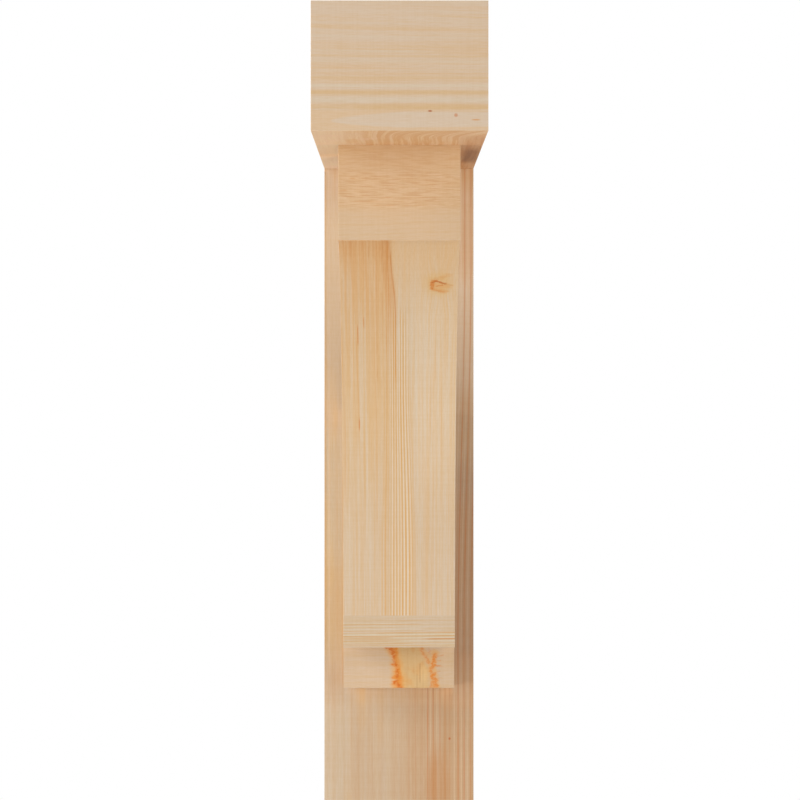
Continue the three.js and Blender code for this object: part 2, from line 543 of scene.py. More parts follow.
def post_face(face):
    """Across is to the right, along is the drop below the beam."""
    tones = colours()
    across, along = face.across, face.along
    # The rings on the right lean outwards higher up
    lean = along.rise(0.62, 0.12) * across.rise(0.02, 0.07) * 0.0085
    at = face.sway(0.0014, 1.4, 1) - lean
    broad = face.streaks(at, 60.0, 1.2, 2, 0.34, 0.66)
    middle = face.streaks(at, 240.0, 2.4, 3, 0.40, 0.60)
    fine = face.streaks(at, 640.0, 8.0, 4)
    tint = face.mix(tones.post_pale, tones.post_warm,
                    across.rise(-0.03, 0.06) * 0.42 + broad * 0.22 + middle * 0.20
                    + fine * 0.14)
    grey = face.streaks(at, 170.0, 4.0, 7, 0.50, 0.66) * across.span(-0.06, 0.03, 0.03)
    tint = face.mix(tint, shade(198, 176, 154), grey * 0.45)
    gold = face.noise(46.0, 6.0, 8, 2.0, at=at).rise(0.50, 0.68) * across.rise(-0.01, -0.05)
    tint = face.mix(tint, shade(211, 171, 120), gold * 0.42)
    low_gold = across.span(-0.1, -0.066, 0.004) * along.span(0.53, 0.595, 0.05)
    tint = face.mix(tint, shade(206, 160, 106), low_gold * 0.30)
    # Painted light high up on the left, by the open corner, and below it a painted cooling
    # against the warm light that the brace's side throws back
    edge_left = across.rise(-0.066, -0.075)
    tint = face.mix(tint, shade(215, 192, 160), edge_left * along.span(0.08, 0.28, 0.06) * 0.45)
    tint = face.wash(tint, (0.95, 1.03, 1.06), edge_left * along.span(0.36, 0.60, 0.06))
    # Painted shade towards the foot, where the low lamps light the post too brightly, with a
    # cooler tint low on the left
    tint = face.wash(tint, (0.97, 1.04, 1.10),
                     across.rise(-0.060, -0.075) * along.rise(0.66, 0.71))
    foot = along.rise(0.60, 0.70) * (across.rise(-0.092, -0.050) * 0.75 + 0.25)
    tint = face.wash(tint, (0.88, 0.87, 0.84), foot)
    # Painted light under the block, a touch paler, which cancels the block's shadow on the post
    painted_light_under_block = along.span(0.655, 0.670, 0.022) * across.span(-0.046, 0.052, 0.022)
    tint = face.wash(tint, (1.15, 1.11, 1.05), painted_light_under_block)
    # More painted light right under the block's edge
    close = along.span(0.655, 0.668, 0.007) * across.span(-0.066, 0.066, 0.006)
    tint = face.wash(tint, (1.08, 1.08, 1.08), close)
    # On the right, in the brace's shadow: painted light half way down, where light comes
    # through the open corner, and again by the block; painted shade lower down, and a warmer
    # painted shade right under the beam
    edge_right = across.rise(0.050, 0.064)
    tint = face.mix(tint, shade(217, 196, 170),
                    edge_right * along.span(0.16, 0.26, 0.05) * 0.40)
    for factors, height in (
            ((0.89, 0.86, 0.88), along.span(0.40, 0.61, 0.05)),
            ((0.96, 1.00, 1.05), along.span(0.16, 0.40, 0.04)),
            ((1.09, 1.05, 1.03), along.span(0.63, 0.68, 0.02)),
            ((0.96, 0.90, 0.78), along.rise(0.036, 0.010))):
        tint = face.wash(tint, factors, edge_right * height)
    edge = drawn_lines(across, along, (
        (-0.0936, 0.0014, 0.50, 0.02, 0.60, 0.04), (-0.0722, 0.0014, 0.30, 0.25, 0.62, 0.1),
        (-0.0790, 0.0012, 0.25, 0.45, 0.62, 0.1)))
    tint = face.mix(tint, shade(196, 149, 97), edge)
    uneven = face.noise(160.0, 7.0, 9, 2.0).rise(0.25, 0.55) * 0.45 + 0.55
    lines = drawn_lines(at, along, (
        (0.0370, 0.0013, 0.75, 0.0, 0.705, 0.02), (0.0366, 0.0012, 0.75, 0.70, 1.0, 0.02),
        (0.0438, 0.0014, 0.70, 0.0, 1.0, 0.02), (0.0525, 0.0012, 0.50, 0.0, 0.74, 0.03),
        (0.0647, 0.0012, 0.30, 0.0, 1.0, 0.02), (0.0757, 0.0016, 0.60, 0.0, 1.0, 0.02),
        (0.0835, 0.0017, 0.60, 0.0, 1.0, 0.02), (0.0918, 0.0014, 0.42, 0.0, 1.0, 0.02),
        (0.0300, 0.0012, 0.28, 0.6, 1.0, 0.05), (0.0210, 0.0012, 0.26, 0.6, 1.0, 0.05),
        (0.0130, 0.0012, 0.26, 0.6, 1.0, 0.05), (0.0590, 0.0011, 0.30, 0.6, 1.0, 0.05)))
    tint = face.mix(tint, shade(184, 119, 72), lines * uneven)
    pale = drawn_lines(at, along, (
        (0.0404, 0.0012, 0.35, 0.0, 1.0, 0.02), (0.0482, 0.0016, 0.32, 0.0, 1.0, 0.02),
        (0.0709, 0.0015, 0.38, 0.0, 1.0, 0.02), (0.0798, 0.0015, 0.42, 0.0, 1.0, 0.02),
        (0.0875, 0.0014, 0.32, 0.0, 1.0, 0.02), (-0.0895, 0.0022, 0.60, 0.0, 0.62, 0.04)))
    tint = face.mix(tint, shade(209, 184, 158), pale)
    warm = face.mark(0.0500, 0.7900, 0.0190, 0.0680)
    tint = face.mix(tint, shade(180, 127, 80), warm * (middle * 0.35 + broad * 0.15 + 0.30))
    tint = face.mix(tint, tones.bark, face.mark(0.0647, 0.7283, 0.0021, 0.0023) * 0.85)
    return tint, middle * 0.3 + lines


def brace_head(face):
    """Across is the drop below the beam, along is to the right."""
    tones = colours()
    across, along = face.across, face.along
    at = across + (face.noise(11.0, 9.0, 1, 2.0) - 0.5) * 0.0060 \
        + (face.noise(120.0, 60.0, 2, 2.0) - 0.5) * 0.0014
    upper = across.rise(0.080, 0.064)
    tight = across.span(0.036, 0.066, 0.012)
    bold = face.streaks(at, 700.0, 42.0, 3, 0.44, 0.62)
    fine = face.streaks(at, 860.0, 56.0, 4, 0.42, 0.60)
    broad = face.streaks(at, 45.0, 8.0, 5, 0.34, 0.66)
    # Warmer in the upper rings, with painted shade darkening the top few centimetres just under
    # the beam
    tint = face.mix(tones.head_pale, tones.head_warm,
                    upper * 0.52 + across.rise(0.035, 0.0) * 0.30
                    + across.rise(0.008, 0.0) * 0.35 + broad * 0.20)
    tint = face.mix(tint, shade(186, 137, 87), bold * (upper * 0.20 + tight * 0.13 + 0.04))
    gleam = (1.0 - bold) * fine * (upper * 0.15 + tight * 0.18)
    tint = face.mix(tint, shade(215, 190, 159), gleam)
    lines = drawn_lines(at, along, (
        (0.0381, 0.0012, 0.60, -0.061, -0.053, 0.006),
        (0.0520, 0.0014, 0.75, -0.0695, -0.062, 0.004),
        (0.0684, 0.0010, 0.45, -0.022, 0.026, 0.012), (0.0640, 0.0009, 0.30, -0.05, 0.02, 0.02),
        (0.0590, 0.0009, 0.30, -0.02, 0.04, 0.02), (0.0440, 0.0009, 0.25, 0.02, 0.05, 0.02)))
    broken = face.noise(200.0, 60.0, 9, 1.0).rise(0.30, 0.60)
    tint = face.mix(tint, shade(196, 143, 85), lines * broken)
    slant = at + along * 0.03
    low = drawn_lines(slant, along, (
        (0.0800, 0.0015, 0.26, -0.07, 0.07, 0.02), (0.0845, 0.0012, 0.14, -0.07, 0.02, 0.02),
        (0.0895, 0.0016, 0.36, -0.07, 0.07, 0.01), (0.0960, 0.0012, 0.18, -0.07, 0.07, 0.01),
        (0.1010, 0.0016, 0.32, -0.07, 0.07, 0.01), (0.1050, 0.0012, 0.16, -0.02, 0.07, 0.01)))
    tint = face.mix(tint, shade(197, 163, 122), low)
    return tint, bold * upper * 0.6 + lines


def brace_arch(face):
    """Across is to the right, along is the way down the arch from its head."""
    tones = colours()
    across, along = face.across, face.along
    knot_across, knot_along = 0.0490, 0.1290
    part = face.mark(knot_across, knot_along, 0.030, 0.080)
    at = face.sway(0.0012, 3.0, 1) + (across - knot_across).rise(-0.004, 0.004) * part * 0.006 \
        - part * 0.003
    broad = face.streaks(at, 70.0, 1.0, 2, 0.36, 0.64)
    middle = face.streaks(at, 240.0, 2.6, 3, 0.40, 0.60)
    fine = face.streaks(at, 620.0, 5.0, 4)
    left = across.rise(0.002, -0.018)
    head = along.rise(0.26, 0.0)
    tint = face.mix(tones.arch_pale, tones.arch_warm, broad * 0.18 + middle * 0.22 + fine * 0.38
                    + left * (along.rise(0.62, 0.30) * 0.40 + 0.10))
    tint = face.mix(tint, shade(225, 180, 125), head * 0.50)
    tint = face.wash(tint, (0.93, 0.93, 0.95), along.rise(0.34, 0.56))
    tint = face.wash(tint, (1.04, 1.05, 1.07),
                     across.rise(0.010, 0.030) * along.span(0.22, 0.42, 0.10))
    # A darker stave at the upper left, whose edge slants into a strong line lower down
    edge = along.rise(0.05, 0.20) * 0.0058 - 0.0103
    stave = (edge - across).rise(-0.0004, 0.0010)
    board = along.rise(0.09, 0.0) * 0.30 + along.rise(0.38, 0.02) * 0.34
    tint = face.mix(tint, shade(204, 140, 76),
                    stave * board * (fine * 0.66 + middle * 0.10 + 0.34))
    strip = (edge - across).span(0.0002, 0.0090, 0.0035) * along.rise(0.36, 0.05)
    tint = face.mix(tint, shade(200, 135, 69), strip * (fine * 0.36 + 0.26))
    light = across.span(-0.0640, -0.0400, 0.010) * along.span(0.14, 0.50, 0.12)
    tint = face.mix(tint, tones.arch_pale, light * (1.0 - middle) * 0.40)
    tint, lines = arch_lines(face, tint, at, edge)
    tint, ribs = arch_ribs(face, tint, at)
    right_lines = drawn_lines(at, along, (
        (0.0388, 0.0010, 0.34, 0.32, 0.39, 0.03), (0.0440, 0.0010, 0.34, 0.26, 0.30, 0.03),
        (0.0290, 0.0010, 0.26, 0.26, 0.45, 0.05), (0.0425, 0.0010, 0.36, 0.46, 0.58, 0.03),
        (0.0610, 0.0010, 0.32, 0.44, 0.60, 0.03), (0.0330, 0.0010, 0.26, 0.45, 0.64, 0.06),
        (0.0520, 0.0010, 0.30, 0.36, 0.48, 0.05), (0.0200, 0.0010, 0.22, 0.40, 0.64, 0.05)))
    tint = face.mix(tint, shade(203, 158, 107), right_lines)
    return arch_knot(face, tint), middle * 0.4 + lines + ribs * 0.6


def arch_lines(face, tint, at, edge):
    """The arch's upper and left grain lines, and the line along the dark stave's edge."""
    across, along = face.across, face.along
    # Grain lines come and go along their length
    broken = face.noise(300.0, 22.0, 10, 1.0).rise(0.34, 0.58)
    lines = drawn_lines(at, along, (
        (-0.0124, 0.0010, 0.55, -0.05, 0.045, 0.02), (-0.0172, 0.0009, 0.45, -0.05, 0.03, 0.02),
        (-0.0360, 0.0009, 0.50, -0.05, 0.05, 0.02), (-0.0440, 0.0009, 0.30, -0.05, 0.08, 0.03),
        (-0.0264, 0.0009, 0.40, 0.09, 0.30, 0.05), (-0.0200, 0.0009, 0.35, 0.04, 0.22, 0.05),
        (-0.0300, 0.0009, 0.30, 0.02, 0.10, 0.03), (-0.0150, 0.0009, 0.40, 0.16, 0.34, 0.05),
        (0.0118, 0.0008, 0.25, 0.05, 0.14, 0.03), (0.0040, 0.0008, 0.22, 0.06, 0.13, 0.03)))
    tint = face.mix(tint, shade(199, 138, 76), lines * broken)
    tint = face.mix(tint, shade(198, 128, 65),
                    drawn_lines(at, along, ((-0.0495, 0.0010, 0.85, 0.224, 0.246, 0.012),
                                            (-0.0421, 0.0009, 0.70, 0.206, 0.216, 0.010))))
    slanted = (across - edge).near(0.0, 0.0013) * along.span(0.055, 0.30, 0.03)
    tint = face.mix(tint, shade(197, 133, 68), slanted * (broken * 0.30 + 0.55))
    # The line beside the slender stave on the left leans too
    lean = along.rise(0.25, 0.40) * 0.0025
    left_lines = drawn_lines(across - lean, along, (
        (-0.0513, 0.0012, 0.50, 0.26, 0.38, 0.03), (-0.0558, 0.0010, 0.30, 0.25, 0.39, 0.03),
        (-0.0300, 0.0011, 0.36, 0.25, 0.50, 0.05), (-0.0690, 0.0020, 0.36, 0.24, 0.46, 0.05)))
    tint = face.mix(tint, shade(205, 154, 96), left_lines)
    tint = face.mix(tint, shade(198, 128, 70), face.mark(-0.0488, 0.3820, 0.0012, 0.0130) * 0.7)
    return tint, lines


def arch_ribs(face, tint, at):
    """The resin lines down the middle of the arch, that fan out a little."""
    along = face.along
    fan = along.rise(0.30, 0.60) * 0.33 + 1.0
    spread = (at + 0.0067) / fan - 0.0067
    ribs = drawn_lines(spread, along, (
        (-0.0175, 0.0010, 0.40, 0.36, 0.70, 0.10), (-0.0147, 0.0011, 0.65, 0.25, 0.70, 0.06),
        (-0.0121, 0.0009, 0.45, 0.36, 0.70, 0.08), (-0.0095, 0.0010, 0.60, 0.30, 0.70, 0.06),
        (-0.0067, 0.0011, 0.80, 0.20, 0.70, 0.04), (-0.0039, 0.0011, 0.85, 0.24, 0.70, 0.06),
        (-0.0011, 0.0009, 0.60, 0.28, 0.70, 0.06), (0.0017, 0.0011, 0.90, 0.21, 0.70, 0.05),
        (0.0049, 0.0011, 0.90, 0.22, 0.70, 0.05), (0.0082, 0.0010, 0.75, 0.22, 0.70, 0.05),
        (0.0110, 0.0009, 0.45, 0.34, 0.70, 0.08), (0.0135, 0.0009, 0.30, 0.38, 0.70, 0.08)))
    uneven = face.noise(240.0, 5.0, 9, 2.0).rise(0.25, 0.60) * 0.45 + 0.55
    tint = face.mix(tint, shade(203, 151, 76), ribs * uneven)
    gaps = drawn_lines(spread, along, (
        (0.0033, 0.0010, 0.80, 0.22, 0.70, 0.05), (0.0066, 0.0010, 0.80, 0.24, 0.70, 0.05),
        (0.0098, 0.0009, 0.55, 0.22, 0.60, 0.05), (-0.0082, 0.0009, 0.55, 0.22, 0.70, 0.06),
        (-0.0053, 0.0009, 0.55, 0.22, 0.70, 0.06), (-0.0025, 0.0009, 0.60, 0.26, 0.70, 0.06),
        (0.0003, 0.0009, 0.55, 0.26, 0.70, 0.06), (-0.0285, 0.0010, 0.35, 0.09, 0.30, 0.04),
        (-0.0560, 0.0011, 0.35, 0.14, 0.30, 0.04)))
    tint = face.mix(tint, shade(216, 199, 176), gaps)
    return tint, ribs


def arch_knot(face, tint):
    """The knot at the upper right: a worn square of orange with a dark check in it."""
    x = face.across + (face.noise(230.0, 150.0, 7, 3.0, 0.6) - 0.5) * 0.0060
    y = face.along + (face.noise(190.0, 190.0, 8, 3.0, 0.6) - 0.5) * 0.0080
    halo = face.mark(0.0460, 0.1270, 0.0230, 0.0420)
    tint = face.mix(tint, shade(212, 171, 109), halo * 0.50)
    fill = face.strokes(x, y, (
        ((0.0400, 0.1240), (0.0405, 0.1400), 0.0060, 0.90),
        ((0.0410, 0.1400), (0.0540, 0.1450), 0.0065, 0.80),
        ((0.0400, 0.1200), (0.0500, 0.1140), 0.0062, 0.55),
        ((0.0500, 0.1120), (0.0590, 0.1060), 0.0065, 0.45),
        ((0.0440, 0.1310), (0.0550, 0.1335), 0.0100, 0.75),
        ((0.0580, 0.1310), (0.0630, 0.1320), 0.0035, 0.40)))
    tint = face.mix(tint, shade(210, 149, 77), fill * 0.62)
    rim = face.strokes(x, y, (
        ((0.0388, 0.1250), (0.0392, 0.1400), 0.0030, 1.00),
        ((0.0395, 0.1220), (0.0440, 0.1200), 0.0024, 0.90),
        ((0.0400, 0.1420), (0.0520, 0.1460), 0.0032, 0.38),
        ((0.0445, 0.1330), (0.0505, 0.1310), 0.0022, 0.60),
        ((0.0500, 0.1120), (0.0550, 0.1095), 0.0024, 0.18)))
    torn = face.noise(320.0, 260.0, 11, 2.0).rise(0.34, 0.62)
    tint = face.mix(tint, shade(200, 115, 39), rim * (torn * 0.45 + 0.48))
    hook = face.stroke(face.across, y, (0.0434, 0.1218), (0.0398, 0.1250), 0.0024)
    check = face.stroke(face.across, y, (0.0434, 0.1218), (0.0541, 0.1282), 0.0027)
    tint = face.mix(tint, shade(184, 100, 34),
                    check.calc("MAXIMUM", hook * 0.8) * (torn * 0.25 + 0.70))
    tail = face.stroke(face.across, y, (0.0540, 0.1296), (0.0625, 0.1316), 0.0017)
    return face.mix(tint, shade(196, 138, 77), tail * 0.35)


def brace_foot(face):
    """Across is the height above the brace's foot, along is to the right."""
    tones = colours()
    at = face.across - face.along * 0.006 + (face.noise(14.0, 7.0, 1, 2.0) - 0.5) * 0.0016
    along = face.along
    fine = face.streaks(at, 430.0, 9.0, 3, 0.42, 0.60)
    broad = face.streaks(at, 150.0, 4.0, 2, 0.38, 0.62)
    tint = face.mix(tones.foot_pale, tones.foot_warm, broad * 0.16 + fine * 0.36)
    gaps = drawn_lines(at, along, (
        (0.0160, 0.0012, 0.85, -0.08, 0.08, 0.01), (0.0302, 0.0010, 0.55, -0.08, 0.00, 0.02),
        (0.0122, 0.0009, 0.70, 0.00, 0.08, 0.02), (0.0083, 0.0009, 0.70, 0.00, 0.08, 0.02),
        (0.0228, 0.0009, 0.40, -0.08, 0.02, 0.02), (0.0265, 0.0009, 0.40, -0.08, 0.02, 0.02),
        (0.0038, 0.0009, 0.45, 0.00, 0.08, 0.02), (0.0066, 0.0009, 0.45, -0.08, 0.00, 0.02)))
    tint = face.mix(tint, shade(200, 190, 166), gaps)
    lines = drawn_lines(at, along, (
        (0.0332, 0.0009, 0.32, 0.010, 0.08, 0.02), (0.0287, 0.0011, 0.62, -0.08, 0.015, 0.02),
        (0.0247, 0.0009, 0.30, -0.08, -0.01, 0.02), (0.0209, 0.0009, 0.34, -0.08, 0.02, 0.02),
        (0.0182, 0.0010, 0.48, -0.08, -0.02, 0.02), (0.0184, 0.0011, 0.72, -0.02, 0.08, 0.02),
        (0.0142, 0.0011, 0.72, -0.08, 0.08, 0.01), (0.0122, 0.0009, 0.45, -0.08, -0.02, 0.02),
        (0.0104, 0.0009, 0.45, -0.03, 0.03, 0.02), (0.0083, 0.0009, 0.48, -0.08, -0.01, 0.02),
        (0.0048, 0.0009, 0.42, -0.08, 0.00, 0.02), (0.0024, 0.0009, 0.36, -0.08, 0.03, 0.02),
        (0.0058, 0.0009, 0.36, 0.00, 0.08, 0.02)))
    broken = face.noise(260.0, 18.0, 9, 1.0).rise(0.28, 0.56) * 0.35 + 0.65
    tint = face.mix(tint, shade(193, 146, 85), lines * broken)
    strong = drawn_lines(at, along, ((0.0103, 0.0012, 0.90, 0.044, 0.08, 0.02),))
    tint = face.mix(tint, shade(187, 126, 59), strong)
    return tint, fine * 0.4 + lines


def block_front(face):
    """Across is the height above the block's foot, along is to the right."""
    tones = colours()
    across, along = face.across, face.along
    at = face.sway(0.0012, 6.0, 1, across=20.0)
    broad = face.streaks(at, 110.0, 4.0, 2, 0.38, 0.64)
    fine = face.streaks(at, 420.0, 9.0, 3, 0.42, 0.62)
    tint = face.mix(tones.block_pale, tones.block_warm, broad * 0.35 + fine * 0.30)
    # Painted light, a touch paler along the top where the brace's foot overhangs and shades the
    # block, and towards the right
    tint = face.wash(tint, (1.09, 1.06, 1.02), across.rise(0.036, 0.054))
    tint = face.wash(tint, (1.06, 1.04, 1.00), along.rise(0.046, 0.060))
    tint = face.wash(tint, (1.07, 1.07, 1.08),
                     across.rise(0.044, 0.055) * along.rise(0.0, -0.02))
    tint, heart = block_branch(face, tint)
    checks = drawn_lines(along, across, (
        (0.0228, 0.0007, 0.50, -0.01, 0.014, 0.006),
        (0.0266, 0.0008, 0.70, 0.010, 0.028, 0.006),
        (0.0305, 0.0006, 0.35, 0.0, 0.020, 0.006)))
    tint = face.mix(tint, shade(165, 114, 59), checks)
    return tint, fine * 0.4 + heart * 0.4


def block_branch(face, tint):
    """The branch that runs down through the block: gold between two frayed flames."""
    across, along = face.across, face.along
    spiky = along + (face.noise(270.0, 46.0, 4, 3.0, 0.6) - 0.5) * 0.0260
    soft = along + (face.noise(160.0, 120.0, 5, 3.0, 0.6) - 0.5) * 0.0070
    tall = across + (face.noise(170.0, 130.0, 6, 3.0, 0.65) - 0.5) * 0.0060
    torn = face.noise(280.0, 210.0, 7, 3.0, 0.7).rise(0.36, 0.60)
    left = across.rise(0.048, 0.004) * 0.0075 - 0.0035
    right = across.rise(0.052, 0.018) * 0.0120 + 0.0270
    heart = (soft - left).rise(-0.003, 0.003) * (right - soft).rise(-0.004, 0.006)
    tint = face.mix(tint, shade(205, 171, 121), heart * 0.90)
    cloud = face.noise(70.0, 90.0, 12, 2.0).rise(0.46, 0.66)
    tint = face.mix(tint, shade(207, 154, 90), cloud * heart * 0.50)
    reed = face.noise(30.0, 340.0, 13, 2.0).rise(0.50, 0.70)
    tint = face.mix(tint, shade(193, 146, 92), reed * heart * 0.30)
    tint = face.mix(tint, shade(217, 184, 133), face.mark(0.018, 0.031, 0.014, 0.008) * 0.50)

    # The left flame: barbs point outwards, the heart side is smooth
    outer = across.rise(0.034, 0.052) * -0.0075 - 0.0100
    glow = (soft - outer).rise(-0.004, 0.006) * (left - soft).rise(-0.009, 0.000)
    tint = face.mix(tint, shade(215, 160, 88), glow * 0.70)
    flame = (spiky - outer).rise(-0.001, 0.0065) * (left - soft).rise(-0.0035, 0.0010)
    tint = face.mix(tint, shade(212, 126, 28), flame * (torn * 0.35 + 0.50))
    core = face.strokes(spiky * 0.4 + soft * 0.6, tall, (
        ((-0.0160, 0.0512), (-0.0080, 0.0492), 0.0028, 1.0),
        ((-0.0100, 0.0470), (-0.0060, 0.0400), 0.0034, 1.0),
        ((-0.0080, 0.0330), (-0.0030, 0.0280), 0.0030, 0.8),
        ((-0.0030, 0.0230), (-0.0010, 0.0150), 0.0034, 0.7),
        ((-0.0040, 0.0080), (0.0010, 0.0000), 0.0042, 0.9)))
    tint = face.mix(tint, shade(194, 88, 20), core * torn * 0.75)
    # The right flame: thin strands that join lower down
    haze = face.strokes(soft, tall, (
        ((0.0270, 0.0520), (0.0390, 0.0330), 0.0070, 0.8),
        ((0.0450, 0.0440), (0.0410, 0.0230), 0.0075, 1.0),
        ((0.0430, 0.0220), (0.0460, 0.0000), 0.0085, 1.0)))
    tint = face.mix(tint, shade(215, 164, 96), haze * 0.62)
    strands = face.strokes(spiky * 0.45 + soft * 0.55, tall, (
        ((0.0270, 0.0515), (0.0330, 0.0430), 0.0026, 0.8),
        ((0.0330, 0.0430), (0.0385, 0.0320), 0.0024, 0.6),
        ((0.0370, 0.0515), (0.0400, 0.0430), 0.0020, 0.4),
        ((0.0452, 0.0420), (0.0430, 0.0260), 0.0036, 1.0),
        ((0.0415, 0.0250), (0.0400, 0.0200), 0.0030, 0.8),
        ((0.0435, 0.0170), (0.0470, 0.0000), 0.0046, 1.0),
        ((0.0410, 0.0080), (0.0415, 0.0000), 0.0026, 0.7)))
    tint = face.mix(tint, shade(209, 119, 26), strands * (torn * 0.50 + 0.35))
    wisps = face.strokes(soft, tall, (
        ((0.0440, 0.0400), (0.0560, 0.0410), 0.0018, 0.7),
        ((0.0440, 0.0290), (0.0545, 0.0270), 0.0018, 0.7),
        ((0.0460, 0.0340), (0.0530, 0.0350), 0.0015, 0.5),
        ((0.0470, 0.0110), (0.0545, 0.0125), 0.0016, 0.5),
        ((0.0455, 0.0190), (0.0520, 0.0215), 0.0016, 0.5)))
    tint = face.mix(tint, shade(206, 128, 62), wisps * (torn * 0.60 + 0.28))
    return tint, heart


# ---------------------------------------------------------------------------
# Shapes
# ---------------------------------------------------------------------------


def side_of(polygon):
    """The name of the side that a face looks to."""
    normal = polygon.normal
    axis = max(range(3), key=lambda i: abs(normal[i]))
    return (("right", "left"), ("back", "front"), ("top", "bottom"))[axis][normal[axis] < 0]


def ease_arrises(piece, meets):
    """Rounds the sharp corners a little, except those that lie against another timber.

    meets is a list of (axis, place) for the planes in which the piece meets one.
    """
    def free(edge):
        return not any(all(abs(corner.co[axis] - place) < ON_PLANE for corner in edge.verts)
                       for axis, place in meets)

    shape = bmesh.new()
    shape.from_mesh(piece.data)
    sharp = [edge for edge in shape.edges
             if edge.calc_face_angle(0.0) > EASED_ABOVE and free(edge)]
    bmesh.ops.bevel(shape, geom=sharp, offset=sizes().arris, segments=2, profile=0.5,
                    affect="EDGES", clamp_overlap=True)
    shape.to_mesh(piece.data)
    shape.free()
    for polygon in piece.data.polygons:
        polygon.use_smooth = True
    piece.data.set_sharp_from_angle(angle=CRISP_ABOVE)
    return piece


def flatten(piece):
    """The piece as its modifiers leave it, in a plain mesh of its own."""
    name = piece.name
    depsgraph = bpy.context.evaluated_depsgraph_get()
    mesh = bpy.data.meshes.new_from_object(piece.evaluated_get(depsgraph))
    old = piece.data
    piece.modifiers.clear()
    piece.data = mesh
    if old.users == 0:
        bpy.data.meshes.remove(old)
    mesh.name = name
    tidy = bmesh.new()
    tidy.from_mesh(mesh)
    bmesh.ops.remove_doubles(tidy, verts=tidy.verts, dist=SAME_POINT)
    bmesh.ops.recalc_face_normals(tidy, faces=tidy.faces)
    tidy.to_mesh(mesh)
    tidy.free()
    return piece


def up_to(high, above):
    """The upper corner moved up against the timber above, with a hair's gap."""
    return Vector((high.x, high.y, above - sizes().joint_gap))


def square_timber(name, low, high):
    """A square-cut timber between two corners, whose back and top lie against others."""
    shape = bmesh.new()
    bmesh.ops.create_cube(shape, size=1.0)
    middle, size = (low + high) / 2, high - low
    for corner in shape.verts:
        corner.co = Vector(middle[i] + corner.co[i] * size[i] for i in range(3))
    mesh = bpy.data.meshes.new(name)
    shape.to_mesh(mesh)
    shape.free()
    piece = bpy.data.objects.new(name, mesh)
    bpy.context.scene.collection.objects.link(piece)
    return ease_arrises(piece, [(1, high.y), (2, high.z)])


def lay_grain(piece, faces, which=side_of):
    """Gives each face its finish, and the grain map in metres that the finish follows.

    faces is {side: (finish, point -> (across, along))}, and which names a polygon's side.
    """
    mesh = piece.data
    mesh.materials.clear()
    order = {}
    for finish, _ in faces.values():
        if finish.name not in order:
            order[finish.name] = len(order)
            mesh.materials.append(finish)
    while mesh.uv_layers:
        mesh.uv_layers.remove(mesh.uv_layers[0])
    grain = mesh.uv_layers.new(name="grain")
    for polygon in mesh.polygons:
        finish, place = faces[which(polygon)]
        polygon.material_index = order[finish.name]
        for loop in polygon.loop_indices:
            grain.data[loop].uv = place(mesh.vertices[mesh.loops[loop].vertex_index].co)


def hand_over(piece, node):
    """Puts a timber in the place of its node, on the root."""
    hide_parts(node)
    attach(piece, "root")


# ---------------------------------------------------------------------------
# The brace, drawn by geometry nodes from its sizes
# ---------------------------------------------------------------------------


def point(tree, x, y, z=0.0):
    """A place or a direction, put together from three numbers."""
    node = tree.nodes.new("ShaderNodeCombineXYZ")
    for slot, value in zip(node.inputs, (x, y, z)):
        plug(tree, slot, value)
    return node.outputs[0]


def vector(tree, operation, first, second=None, scale=None):
    """The outputs of one vector math node."""
    node = tree.nodes.new("ShaderNodeVectorMath")
    node.operation = operation
    tree.links.new(first, node.inputs[0])
    if second is not None:
        tree.links.new(second, node.inputs[1])
    if scale is not None:
        plug(tree, node.inputs["Scale"], scale)
    return node.outputs


def turned(tree, start, angle, centre=None):
    """A place turned by that angle round the centre, in the outline's plane."""
    node = tree.nodes.new("ShaderNodeVectorRotate")
    node.rotation_type = "Z_AXIS"
    tree.links.new(start, node.inputs["Vector"])
    if centre is not None:
        tree.links.new(centre, node.inputs["Center"])
    plug(tree, node.inputs["Angle"], angle)
    return node.outputs[0]


